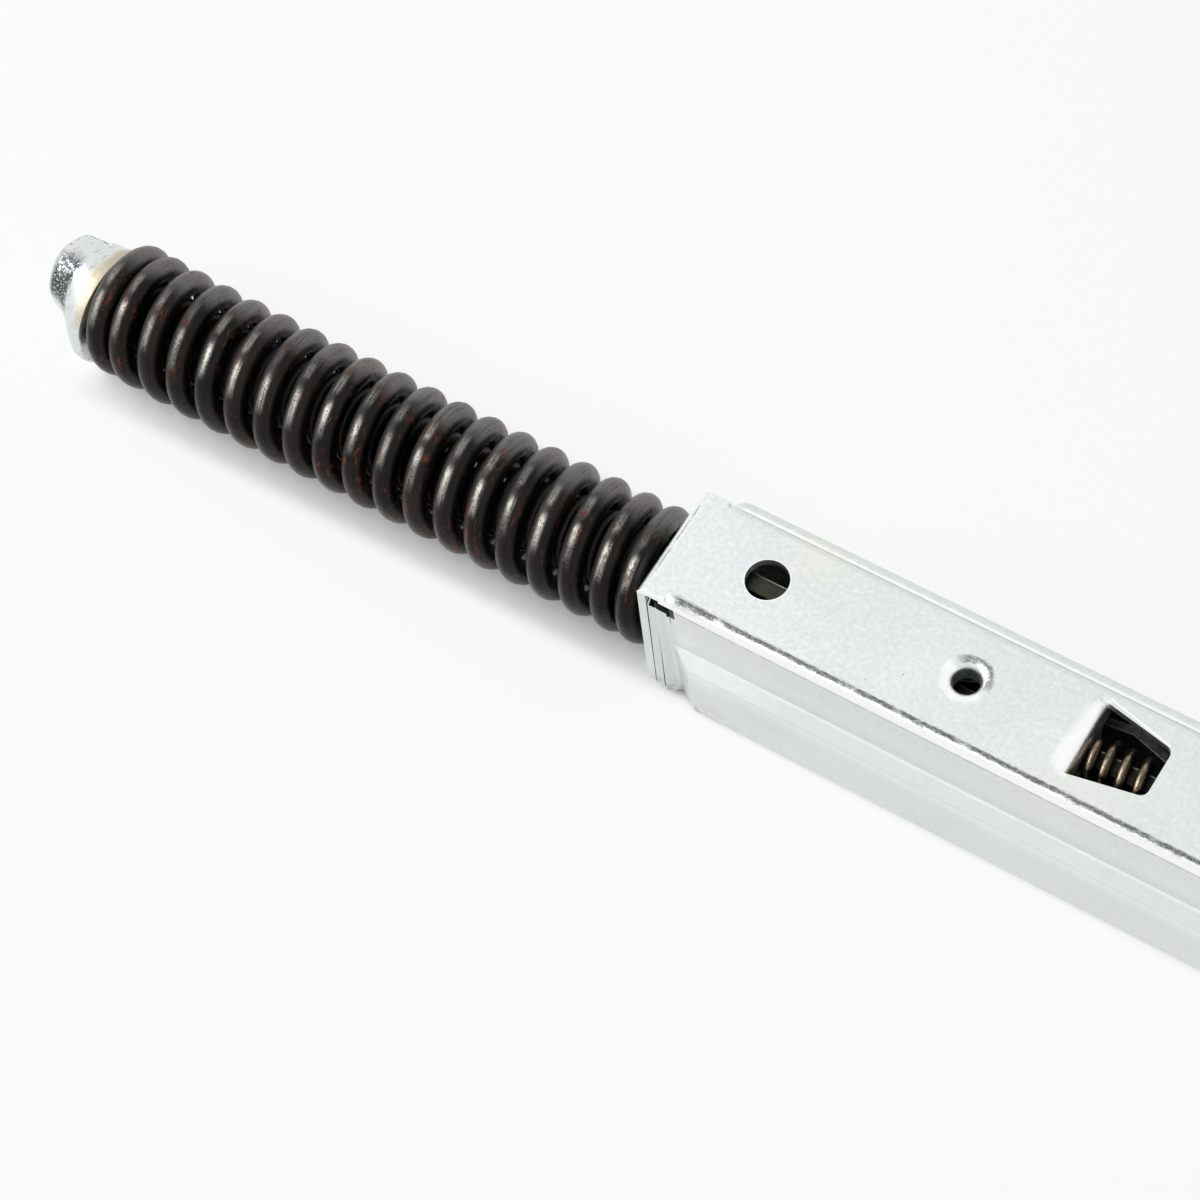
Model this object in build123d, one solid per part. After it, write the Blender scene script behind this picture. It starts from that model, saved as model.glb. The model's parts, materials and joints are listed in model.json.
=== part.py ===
"""Oven-door hinge: a folded channel with an outside compression spring, a pull bar,
a cam lever and a roller. Millimetres, +Z up. The origin is the centre of the locating
hole on the top face of the channel's web, +X runs along the channel to the lever's end."""
import os
from math import atan2, cos, hypot, pi, radians, sin, sqrt, tan

from build123d import *

# Clearances
rivetFit = 0.03          # radial, a rivet or bush in its own hole
turningFit = 0.05        # radial, a turning part on its pin
sideGap = 0.1            # between faces that slide on each other
seatGap = 0.3            # between a spring or stop and what it rests on
contactGap = 0.15        # between the roller and the cam
strapWallGap = 0.55      # between the straps' widest part and the side walls
coilGap = 0.7            # between the inner and the main spring

# Channel
sheet = 1.5
bodyWidth = 22.0         # over the outer faces of the side walls
bodyHeight = 29.0
holeToEnd = 17.0         # locating hole to the outer face of the end tab
holeToOpenEnd = 167.0    # locating hole to the open end
nearFold = 1.6           # outside radius of the web's long fold
flangeBend = 2.4         # outside radius of the end flanges' bends
tabBend = 1.8            # outside radius of the end wall's upper fold
layerGap = 0.12          # between the folded layers of the end wall
endFlare = 1.5           # the end wall's foot reaches beyond its top on the near side
endChamfer = 1.6
flangeTopB = -2.9        # tops of the flanges folded from the far and near walls
flangeTopC = -3.4
endCutRise = 1.0         # slanting cut under the fold at the near wall's foot
endCutRun = 1.6
notchDepth = 5.8
bulgeRise = 2.1          # lower part of the near wall, set outwards
bulgeTop = 13.0          # depth below the web where it starts
bulgeRun = 3.5           # length of its sloping end
bulgeStart = -11.5
bulgeEnd = 107.0
farRise = 1.7            # far wall, set outwards from the end wall's width
farStep = 0.45           # the ledge's drop below the web
farStart = -11.0
farRun = 1.5
creaseInset = 2.2        # the ledge's width, from the far wall's outer face

# Holes and tabs of the web
locatingRadius = 3.5
screwX = 34.5
screwRadius = 2.1        # core of an M5 thread
screwCollarRadius = 3.9
screwCollarDepth = 4.0
screwRim = 1.7           # rounding of the hole's mouth
windowStart = 54.9       # right face of the tab at the window's wide end
windowEnd = 66.5
windowWide = 7.05        # half widths of the trapezoid
windowNarrow = 4.3
windowCorner = 1.4
windowBend = 2.8         # outside radius of the bend of the window's tab
tabHalf = 4.15           # half width of the tab below its shoulders
tabDepth = 12.6
shoulderDepth = 3.6
leverSlotStart = 104.5
leverSlotHalf = 5.75

# Lines that the moving pieces share
axisDepth = 17.6         # pull bar, main spring, roller and pivot
helperDepth = 7.0        # small spring and the pull bar's finger
pivotX = 125.0

# Lever and roller
openAngle = 90.0
stroke = 16.0            # travel of the pull bar over the lever's swing
rollerRadius = 5.5
rollerHalf = 4.4
rollerPinRadius = 2.5
rollerWasher = 0.5
rollerWasherRadius = 4.2
rollerStart = 15.5       # pivot to roller when closed
hubRadius = 9.0
pivotRadius = 3.5
leverBushRadius = 4.5
pivotBushRadius = 5.0
plateThick = 3.0         # each of the lever's three layers
armLeft = -18.0
armRight = -6.3
armTop = 99.0
hookBottom = 77.0
hookTop = 83.5
hookDepth = 5.6
leverRivetRadius = 2.25
leverRivets = (34.0, 90.0)
rivetHead = 0.35
rivetHeadRadius = 3.4
camBack = 0.6            # the cam's rise from the end of its flank to the arm
armRoot = 20.0           # lower end of the arm
hubSlope = 18.0          # where the hub's slope meets the arm
armCorner = (3.5, 9.0)   # cut at the arm's outer corner, across and along
noseCorner = (3.4, 8.0)
noseOut = (0.9, 0.4)     # the hook's nose leans beyond the arm's edge

# Pull bar, straps and their rivets
barThick = 3.0
bladeTop = 3.0
strapTop = 8.4           # depth of the straps' upper edges
bladeTopEnd = 13.0
bladeNotch = 6.5         # lower under the screw hole, so that the screw's end is clear
bladeEnd = 31.0
tailHalf = 3.0
headHalf = 4.2
headLength = 2.6
fingerStart = 36.6
fingerRise = 38.5
fingerNeck = 42.0
fingerHalf = 1.8         # half height of the finger inside the small spring
fingerHeadHalf = 2.9
fingerHeadLength = 4.5
strapThick = 1.5
strapStart = 5.0
strapFlatEnd = 29.0
strapSpread = 36.0       # where the straps have passed the window's tab
strapWidest = 58.5
strapNarrowStart = 66.8
strapApart = 4.9         # inner faces from the middle plane
strapNarrow = 5.1
strapBeyondRoller = 8.0
strapRivetRadius = 2.0
strapRivets = (12.0, 23.0)
pinHead = 1.0
pinHeadRadius = 4.0
strapRivetHead = (3.6, 0.9)     # radius and height
pivotHead = (6.4, 2.0)

# Springs
wire = 4.1
springRadius = 9.3       # of the wire's centre line
springTurns = 19.25
springEndPitch = 4.7
springLift = 0.5         # the spring's free end sits a little high
springPhase = 250.0
helperWire = 1.6
helperRadius = 3.65
helperTurns = 12.0
helperEndPitch = 2.2
helperLength = 30.2      # from the window's tab to the washer
helperPhase = 60.0
helperWasher = 1.2
innerWire = 2.5          # the inner spring, a plain tube here

# Spring seat
seatX = -132.2           # face under the main spring
flangeRadius = 10.2
flangeThick = 1.3
flangeDrop = 1.5         # the flange hangs a little under the bar's middle
bossLength = 8.6
bossBase = 8.3           # radii of the boss at the flange and at its tip
bossTip = 6.1
bossBaseAside = 0.9      # its middle sits towards the upper far side, more so at the tip
bossBaseRise = 0.1
bossTipAside = 1.8
bossTipRise = 1.5
bossRound = 1.8
headShoulder = 2.6       # seat face to the shoulder under the bar's head

# Latch
latchX = -12.0           # latch pin in the lever's own frame
latchZ = 72.0
latchThick = 1.2
latchInner = 4.9
latchReach = 22.0
latchDrop = 7.5          # the bail's far side, left of the pin
latchPinRadius = 2.0
latchEar = 3.6           # half height of the cheeks around the pin
latchStrip = 6.5         # height of the strip that joins the cheeks
latchPinHead = (3.2, 0.8)

# Values that follow from the sizes above
endFace = -holeToEnd
halfWidth = bodyWidth / 2
farBase = halfWidth - farRise
creaseY = halfWidth - creaseInset
layerB = endFace + sheet + layerGap
layerC = layerB + sheet + layerGap
wallStop = layerC + sheet
nearWallStart = layerC + flangeBend
farWallStart = layerB + flangeBend
leverHalf = plateThick * 1.5
travelPerRadian = stroke / radians(openAngle)
rollerX = pivotX + rollerStart
strapEnd = rollerX + strapBeyondRoller
strapBottom = 2 * axisDepth - strapTop
windowTabX = windowStart - sheet
washerX = windowStart + helperLength
fingerHeadX = washerX + helperWasher + sideGap
strapWide = halfWidth - sheet - strapThick - strapWallGap
springStart = seatX + seatGap + wire / 2
innerOuter = springRadius - wire / 2 - coilGap


def block(x0, x1, y0, y1, z0, z1):
    return Pos((x0 + x1) / 2, (y0 + y1) / 2, (z0 + z1) / 2) * Box(x1 - x0, y1 - y0, z1 - z0)


def along_y(radius, y0, y1, x, z):
    return Pos(x, (y0 + y1) / 2, z) * Rot(90, 0, 0) * Cylinder(radius, y1 - y0)


def along_x(radius, x0, x1, z):
    return Pos((x0 + x1) / 2, 0, z) * Rot(0, 90, 0) * Cylinder(radius, x1 - x0)


def side_profile(points, y0, y1):
    """A flat outline in x and z, made a plate from y0 to y1."""
    face = make_face(Polyline([(x, 0, z) for x, z in points], close=True))
    return Pos(0, y0, 0) * extrude(face, y1 - y0, dir=(0, 1, 0))


def plan_profile(points, z0, z1):
    """A flat outline in x and y, made a plate from z0 to z1."""
    face = make_face(Polyline([(x, y, z0) for x, y in points], close=True))
    return extrude(face, z1 - z0, dir=(0, 0, 1))


def edges_on(shape, **where):
    """The edges whose middle lies at the given x, y or z."""
    def match(edge):
        middle = edge.position_at(0.5)
        return all(abs(getattr(middle, axis.upper()) - value) < 0.01 for axis, value in where.items())
    return [edge for edge in shape.edges() if match(edge)]


def wall_bulge(start, end, inset):
    """The near wall's outer part as a solid, or the hollow behind it when inset is the sheet."""
    slopeRun = inset * (hypot(bulgeRun, bulgeRise) - bulgeRun) / bulgeRise
    slopeTop = inset * (sqrt(2) - 1)
    x0, x1 = start + slopeRun, end - slopeRun
    base, face = -halfWidth + inset, -halfWidth - bulgeRise + inset
    top = -bulgeTop - slopeTop
    plan = [(x0, base), (x0 + bulgeRun, face), (x1 - bulgeRun, face), (x1, base),
            (x1, base + sheet), (x0, base + sheet)]
    slab = plan_profile(plan, -bodyHeight, top)
    section = [(base, top), (face, top - bulgeRise), (face - 1, top - bulgeRise),
               (face - 1, top + 1), (base, top + 1)]
    above = make_face(Polyline([(x0 - 1, y, z) for y, z in section], close=True))
    slab -= extrude(above, x1 - x0 + 2, dir=(1, 0, 0))
    return slab


def far_ledge(inset):
    """The far wall beyond the end wall's width, or the hollow behind it."""
    slope = inset * (hypot(farRun, farRise) - farRun) / farRise
    x0, face = farStart + slope, halfWidth - inset
    plan = [(x0, farBase - inset), (x0 + farRun, face), (holeToOpenEnd, face),
            (holeToOpenEnd, creaseY - 2 * sheet), (x0, creaseY - 2 * sheet)]
    return plan_profile(plan, -bodyHeight, -farStep - inset)


def window_tab():
    """The tab turned down from the web at the window's wide end, narrower below its shoulders."""
    root = windowStart - windowBend - 0.5
    tab = block(root, windowStart, -windowWide, windowWide, -shoulderDepth, 0)
    tab += block(root, windowStart, -tabHalf, tabHalf, -tabDepth, -shoulderDepth)
    tab -= block(root - 1, windowTabX, -windowWide - 1, windowWide + 1, -tabDepth - 1, -sheet)
    tab = fillet(edges_on(tab, x=windowStart, z=0), windowBend)
    tab = fillet(edges_on(tab, x=windowTabX, z=-sheet), windowBend - sheet)
    shoulders = [e for side in (-tabHalf, tabHalf) for e in edges_on(tab, y=side, z=-shoulderDepth)]
    return fillet(shoulders, 0.8)


def end_bend(start, wallY, side, top):
    """The bend between a wall and its end flange: side is -1 at the near wall and 1 at the far wall."""
    centreX = start + flangeBend
    centreY = wallY - side * flangeBend
    height = bodyHeight + top
    bend = Pos(centreX, centreY, top - height / 2) * Cylinder(flangeBend, height)
    bend -= Pos(centreX, centreY, top - height / 2) * Cylinder(flangeBend - sheet, height)
    y0, y1 = sorted((centreY, wallY))
    return bend & block(start, centreX, y0, y1, -bodyHeight, top)


def end_layer(start, far, top, corner):
    """A flat layer of the end wall, wider at its foot to cover the near wall's outer part."""
    near = -halfWidth + 0.3
    foot = near - endFlare
    outline = [(near, top - corner), (foot, -bodyHeight + endChamfer), (foot + endChamfer, -bodyHeight),
               (far - endChamfer, -bodyHeight), (far, -bodyHeight + endChamfer), (far, top)]
    if corner:
        outline.append((near + corner, top))
    face = make_face(Polyline([(start, y, z) for y, z in outline], close=True))
    return extrude(face, sheet, dir=(1, 0, 0))


def make_channel():
    outer = block(farWallStart, holeToOpenEnd, -halfWidth, farBase, -bodyHeight, 0)
    outer = fillet(edges_on(outer, y=-halfWidth, z=0) + edges_on(outer, y=farBase, z=0), nearFold)
    outer -= block(farStart + farRun, holeToOpenEnd, creaseY, halfWidth, -sheet, 1)
    ledge = far_ledge(0)
    ledge = fillet(edges_on(ledge, y=halfWidth, z=-farStep), nearFold)
    bulge = wall_bulge(bulgeStart, bulgeEnd, 0)
    outer += bulge + ledge
    inner = block(farWallStart - 1, holeToOpenEnd + 1, -halfWidth + sheet, farBase - sheet,
                  -bodyHeight - 1, -sheet)
    inner += wall_bulge(bulgeStart, bulgeEnd, sheet)
    inner += far_ledge(sheet)
    inner += block(holeToOpenEnd - 1, holeToOpenEnd + 1, 0, halfWidth - sheet,
                   -bodyHeight, -farStep - sheet)
    body = outer - inner

    # End wall: the near wall starts later than the far wall, and its fold is relieved
    body -= block(farWallStart - 1, nearWallStart, -halfWidth - 1, -halfWidth + sheet,
                  -bodyHeight - 1, -sheet)
    body += end_bend(layerC, -halfWidth, -1, flangeTopC)
    body += block(layerC, layerC + sheet, -halfWidth + flangeBend, farBase - sheet - seatGap,
                  -bodyHeight, flangeTopC)
    body += end_bend(layerB, farBase, 1, flangeTopB)
    body += end_layer(layerB, farBase - flangeBend, flangeTopB, 1.2)
    body -= block(layerC - 0.1, nearWallStart + 0.3, -halfWidth - 1, -halfWidth + flangeBend + 0.4,
                  -notchDepth, -sheet)
    fold = block(endFace, farWallStart + 1, -halfWidth + 0.3, farBase - 0.3, -tabBend - 1, 0)
    fold -= block(endFace + sheet, farWallStart + 2, -halfWidth, halfWidth, -tabBend - 2, -sheet)
    body += fillet(edges_on(fold, x=endFace, z=0), tabBend)
    body += end_layer(endFace, farBase - 0.3, -tabBend, 0)
    corner = [(layerC - 1, -bodyHeight + endCutRise), (layerC - 1, -bodyHeight - 1),
              (nearWallStart + endCutRun, -bodyHeight - 1), (nearWallStart + endCutRun, -bodyHeight)]
    body -= side_profile(corner, -halfWidth - 1, -halfWidth + flangeBend)
    slotHalf = barThick / 2 + seatGap
    slotHeight = tailHalf + 2 * seatGap
    body -= block(endFace - 1, wallStop + 1, -slotHalf, slotHalf,
                  -axisDepth - slotHeight, -axisDepth + slotHeight)

    # Holes in the web
    body -= Pos(0, 0, -sheet / 2) * Cylinder(locatingRadius, sheet + 1)
    collar = Pos(screwX, 0, -screwCollarDepth / 2) * Cylinder(screwCollarRadius, screwCollarDepth)
    collar -= Pos(screwX, 0, -screwCollarDepth / 2) * Cylinder(screwRadius, screwCollarDepth)
    mouth = min(edges_on(collar, z=0), key=lambda edge: edge.length)
    collar = fillet([mouth], screwRim)
    body -= Pos(screwX, 0, -sheet / 2) * Cylinder(screwCollarRadius, sheet + 1)
    body += collar

    # Window with its tab, through which the pull bar's finger goes
    left = windowStart - windowBend
    window = plan_profile([(left, -windowWide), (windowEnd, -windowNarrow),
                           (windowEnd, windowNarrow), (left, windowWide)], -sheet - 0.5, 0.5)
    window = fillet(window.edges().filter_by(Axis.Z).sort_by(Axis.X)[-2:], windowCorner)
    body -= window
    tab = window_tab()
    fingerSlot = barThick / 2 + seatGap
    fingerRoom = fingerHeadHalf + seatGap
    tab -= block(windowTabX - 3, windowStart + 1, -fingerSlot, fingerSlot,
                 -helperDepth - fingerRoom, -helperDepth + fingerRoom)
    body += tab

    # Slot for the lever, open at the end
    leverSlot = block(leverSlotStart, holeToOpenEnd + 9, -leverSlotHalf, leverSlotHalf, -sheet - 0.5, 0.5)
    body -= fillet(leverSlot.edges().filter_by(Axis.Z), 2.0)

    # Pivot holes, and rounded lower corners at the open end
    body -= along_y(pivotRadius + rivetFit, -bodyWidth, bodyWidth, pivotX, -axisDepth)
    cornerRadius = 8.0
    cutter = block(holeToOpenEnd - cornerRadius, holeToOpenEnd + 1, -bodyWidth, bodyWidth,
                   -bodyHeight - 1, -bodyHeight + cornerRadius)
    cutter -= along_y(cornerRadius, -bodyWidth, bodyWidth,
                      holeToOpenEnd - cornerRadius, -bodyHeight + cornerRadius)
    return body - cutter


def coil_points(start, length, depth, radius, turns, endPitch, phase, lift=0):
    """Places and directions along a coil at every quarter turn, close wound at both ends."""
    count = round(turns * 4)
    openness = [min(1, max(0, min(i, count - i) / 4 - 0.75)) for i in range(count + 1)]
    share = sum((a + b) / 8 for a, b in zip(openness, openness[1:]))
    middlePitch = endPitch + (length - endPitch * turns) / share
    pitches = [endPitch + k * (middlePitch - endPitch) for k in openness]
    points, directions, x = [], [], start
    for i, pitch in enumerate(pitches):
        if i:
            x += (pitches[i - 1] + pitch) / 8
        angle = radians(phase) + i * pi / 2
        raised = lift * (1 - i / count) - depth
        points.append(Vector(x, radius * cos(angle), raised + radius * sin(angle)))
        across = 2 * pi * radius
        along = Vector(pitch, -across * sin(angle), across * cos(angle) - lift / turns)
        directions.append(along.normalized())
    return points, directions


def arc_to(start, direction, end):
    """The arc that leaves start along direction and reaches end."""
    chord = end - start
    along = chord.normalized()
    aside = direction - along * direction.dot(along)
    turn = atan2(aside.length, direction.dot(along))
    middle = (start + end) * 0.5 + aside.normalized() * (chord.length / 2 * tan(turn / 2))
    return middle


def coil_path(points, directions):
    """Two arcs that share a tangent stand for each quarter turn."""
    arcs = []
    for a, b, ta, tb in zip(points, points[1:], directions, directions[1:]):
        chord, both = b - a, ta + tb
        bend = 2 * (1 - ta.dot(tb))
        reach = (-chord.dot(both) + sqrt(chord.dot(both) ** 2 + bend * chord.dot(chord))) / bend
        joint = (a + b + (ta - tb) * reach) * 0.5
        arcs.append(ThreePointArc(a, arc_to(a, ta, joint), joint))
        arcs.append(ThreePointArc(joint, arc_to(b, -tb, joint), b))
    return Wire(arcs)


def least_gap(path, turns, wireSize):
    """The least distance between the tube's turns, measured on points of its centre line."""
    count = round(turns * 36)
    line = [path.position_at(i / count) for i in range(count + 1)]
    pairs = ((i, j) for i in range(count + 1) for j in range(i + 18, min(i + 73, count + 1)))
    return min((line[i] - line[j]).length for i, j in pairs) - wireSize


def make_coil(name, start, length, depth, radius, turns, endPitch, phase, wireSize, lift=0):
    points, directions = coil_points(start, length, depth, radius, turns, endPitch, phase, lift)
    path = coil_path(points, directions)
    print(f"{name}: least gap between its turns {least_gap(path, turns, wireSize):.2f} mm")
    section = Plane(origin=points[0], z_dir=directions[0]) * Circle(wireSize / 2)
    return sweep(section, path=path)


def make_main_spring():
    length = endFace - seatGap - wire / 2 - springStart
    return make_coil("main_spring", springStart, length, axisDepth, springRadius, springTurns,
                     springEndPitch, springPhase, wire, springLift)


def make_helper_spring():
    start = windowStart + sideGap + helperWire / 2
    length = washerX - sideGap - helperWire / 2 - start
    return make_coil("helper_spring", start, length, helperDepth, helperRadius, helperTurns,
                     helperEndPitch, helperPhase, helperWire)


def make_pull_bar():
    half = barThick / 2
    left = wallStop + seatGap
    headX = seatX - headShoulder
    top, bottom = -helperDepth + fingerHalf, -helperDepth - fingerHalf
    headTop, headBottom = -helperDepth + fingerHeadHalf, -helperDepth - fingerHeadHalf
    blade = side_profile([(left, -bladeTop), (bladeTopEnd, -bladeTop), (bladeTopEnd + 2.5, -bladeNotch),
                          (fingerRise, -bladeNotch), (fingerRise + 1.5, top), (fingerHeadX + 1, top),
                          (fingerHeadX + 1, bottom), (fingerNeck + 1, bottom), (fingerNeck, headBottom),
                          (fingerStart, headBottom), (fingerStart - 4, headBottom - 3),
                          (bladeEnd, -strapBottom), (left, -strapBottom)], -half, half)
    corners = [e for e in blade.edges().filter_by(Axis.Y) if e.center().X < fingerRise + 1]
    bar = fillet(corners, 0.8)
    bar += block(headX, left + 3, -half, half, -axisDepth - tailHalf, -axisDepth + tailHalf)
    head = block(headX - headLength, headX, -half, half, -axisDepth - headHalf, -axisDepth + headHalf)
    bar += fillet(head.edges().filter_by(Axis.Y), 0.7)
    tip = block(fingerHeadX, fingerHeadX + fingerHeadLength, -half, half, headBottom, headTop)
    bar += fillet(tip.edges().filter_by(Axis.Y), 0.8)
    for x in strapRivets:
        bar -= along_y(strapRivetRadius + rivetFit, -half - 1, half + 1, x, -axisDepth)
    return bar


def make_spring_seat():
    """A round flange, and a boss that leans towards its upper far side."""
    back, tip = seatX - flangeThick, seatX - bossLength
    flange = Pos(0, 0, -flangeDrop) * along_x(flangeRadius, back, seatX, -axisDepth)
    flange = chamfer(flange.edges().filter_by(GeomType.CIRCLE), 0.4)
    base = Plane(origin=(back + 0.1, bossBaseAside, bossBaseRise - axisDepth), z_dir=(-1, 0, 0))
    end = Plane(origin=(tip, bossTipAside, bossTipRise - axisDepth), z_dir=(-1, 0, 0))
    boss = loft([base * Circle(bossBase), end * Circle(bossTip)])
    boss = fillet(boss.edges().sort_by(Axis.X)[0], bossRound)
    seat = flange + boss

    # Slot for the pull bar's tail and the pocket of its head
    slot = barThick / 2 + seatGap
    shoulder = seatX - headShoulder + seatGap
    seat -= block(shoulder - 1, seatX + 1, -slot, slot,
                  -axisDepth - tailHalf - seatGap, -axisDepth + tailHalf + seatGap)
    seat -= block(shoulder - headLength - 2 * seatGap, shoulder, -slot, slot,
                  -axisDepth - headHalf - seatGap, -axisDepth + headHalf + seatGap)
    return seat


def strap_plan(side):
    """The strap's joggled outline seen from above, as its inner line and outer line."""
    flat = barThick / 2 + rivetFit
    inner = [(strapStart, flat), (strapFlatEnd, flat), (strapSpread, strapApart), (strapWidest, strapWide),
             (strapNarrowStart, strapNarrow), (strapEnd, strapNarrow)]
    outer = [(x, y + strapThick) for x, y in reversed(inner)]
    return [(x, side * y) for x, y in inner + outer]


def make_strap(side):
    strap = plan_profile(strap_plan(side), -strapBottom, -strapTop)
    bends = [e for e in strap.edges().filter_by(Axis.Z) if strapStart + 1 < e.center().X < strapEnd - 1]
    strap = fillet(bends, 1.2)
    for x, radius in ((strapStart, 3.0), (strapEnd, 6.0)):
        ends = [e for e in strap.edges().filter_by(Axis.Y) if abs(e.center().X - x) < 0.01]
        strap = fillet(ends, radius)
    y0, y1 = -bodyWidth, bodyWidth
    slotHalf = pivotBushRadius + 2 * turningFit
    slotEnds = (pivotX - stroke - seatGap, pivotX + seatGap)
    strap -= block(*slotEnds, y0, y1, -axisDepth - slotHalf, -axisDepth + slotHalf)
    for x in slotEnds:
        strap -= along_y(slotHalf, y0, y1, x, -axisDepth)
    strap -= along_y(rollerPinRadius + rivetFit, y0, y1, rollerX, -axisDepth)
    for x in strapRivets:
        strap -= along_y(strapRivetRadius + rivetFit, y0, y1, x, -axisDepth)
    return strap


def make_rivet(radius, half, headRadius, headHeight, x, z, bevel):
    """A rivet along Y with a bevelled head on each side."""
    rivet = along_y(radius, -half, half, x, z)
    for side in (-1, 1):
        y0, y1 = sorted((side * half, side * (half + headHeight)))
        head = along_y(headRadius, y0, y1, x, z)
        rim = edges_on(head, y=side * (half + headHeight))
        rivet += chamfer(rim, bevel)
    return rivet


def ring_along_y(outer, inner, y0, y1, x, z):
    return along_y(outer, y0, y1, x, z) - along_y(inner, y0, y1, x, z)


def tube_along_x(outer, inner, x0, x1, z):
    return along_x(outer, x0, x1, z) - along_x(inner, x0, x1, z)


def make_helper_washer():
    """A washer that slips over the finger from the side of its slot."""
    washer = along_x(helperRadius + helperWire / 2, washerX, washerX + helperWasher, -helperDepth)
    half = barThick / 2 + 2 * sideGap
    height = fingerHalf + 2 * sideGap
    x0, x1 = washerX - 1, washerX + helperWasher + 1
    return washer - block(x0, x1, -half, half, -helperDepth - height, -helperDepth + height)


def cam_point(angle):
    """The cam's surface that meets the roller once the lever has turned by angle, in the lever's frame."""
    reach = rollerStart + travelPerRadian * angle
    across = -(travelPerRadian * sin(angle) + reach * cos(angle))
    up = travelPerRadian * cos(angle) - reach * sin(angle)
    offset = (rollerRadius + contactGap) / hypot(across, up)
    return (reach * cos(angle) + across * offset, reach * sin(angle) + up * offset)


def lever_outline():
    """Hub, cam flank and hooked arm, seen from the side with the lever closed."""
    flank = [cam_point(radians(a)) for a in range(-20, int(openAngle) + 1, 22)]
    first, last = flank[0], flank[-1]
    cam = Spline([(x, 0, z) for x, z in flank])
    rest = [last, (armRight, last[1] + camBack), (armLeft, armRoot + 1), (armLeft, hubSlope),
            (-hubRadius, 0), (0, -hubRadius / 2), first]
    cam += Polyline([(x, 0, z) for x, z in rest])
    hookIn = armRight - hookDepth
    arm = [(armLeft, armRoot), (armLeft, armTop - armCorner[1]), (armLeft + armCorner[0], armTop),
           (armRight - noseCorner[0], armTop), (armRight + noseOut[0], armTop - noseCorner[1]),
           (armRight + noseOut[1], hookTop), (hookIn, hookTop), (hookIn, hookBottom),
           (armRight, hookBottom), (armRight, armRoot)]
    return make_face(cam), arm


def make_lever_layer(y0, y1):
    cam, arm = lever_outline()
    plate = Pos(0, y0, 0) * extrude(cam, y1 - y0, dir=(0, 1, 0))
    shaft = side_profile(arm, y0, y1)
    tips = [e for e in shaft.edges().filter_by(Axis.Y) if e.center().Z > hookTop - 10]
    shaft = fillet(tips, 1.2)
    plate += shaft
    plate += along_y(hubRadius, y0, y1, 0, 0)
    plate -= along_y(leverBushRadius + rivetFit, y0 - 1, y1 + 1, 0, 0)
    for z in leverRivets:
        plate -= along_y(leverRivetRadius + rivetFit, y0 - 1, y1 + 1, latchX, z)
    plate -= along_y(latchPinRadius + rivetFit, y0 - 1, y1 + 1, latchX, latchZ)
    return Pos(pivotX, 0, -axisDepth) * plate


def make_latch():
    """A bail that hangs beside the lever's arm from the latch pin."""
    lowX, lowZ = -latchDrop, -latchReach
    ear, cut = latchEar, latchEar - 2.1
    cheek = [(-ear, cut), (-cut, ear), (cut, ear), (ear, cut), (ear, -2.0), (lowX + 7, lowZ + 4),
             (lowX + 5, lowZ), (lowX, lowZ), (lowX, lowZ + latchStrip)]
    outer = latchInner + latchThick
    latch = side_profile(cheek, latchInner, outer) + side_profile(cheek, -outer, -latchInner)
    latch += block(lowX, lowX + latchThick, -outer, outer, lowZ, lowZ + latchStrip)
    latch = fillet([e for s in (-outer, outer) for e in edges_on(latch, x=lowX, y=s)], 1.0)
    latch -= along_y(latchPinRadius + turningFit, -outer - 1, outer + 1, 0, 0)
    return Pos(pivotX + latchX, 0, latchZ - axisDepth) * latch


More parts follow.
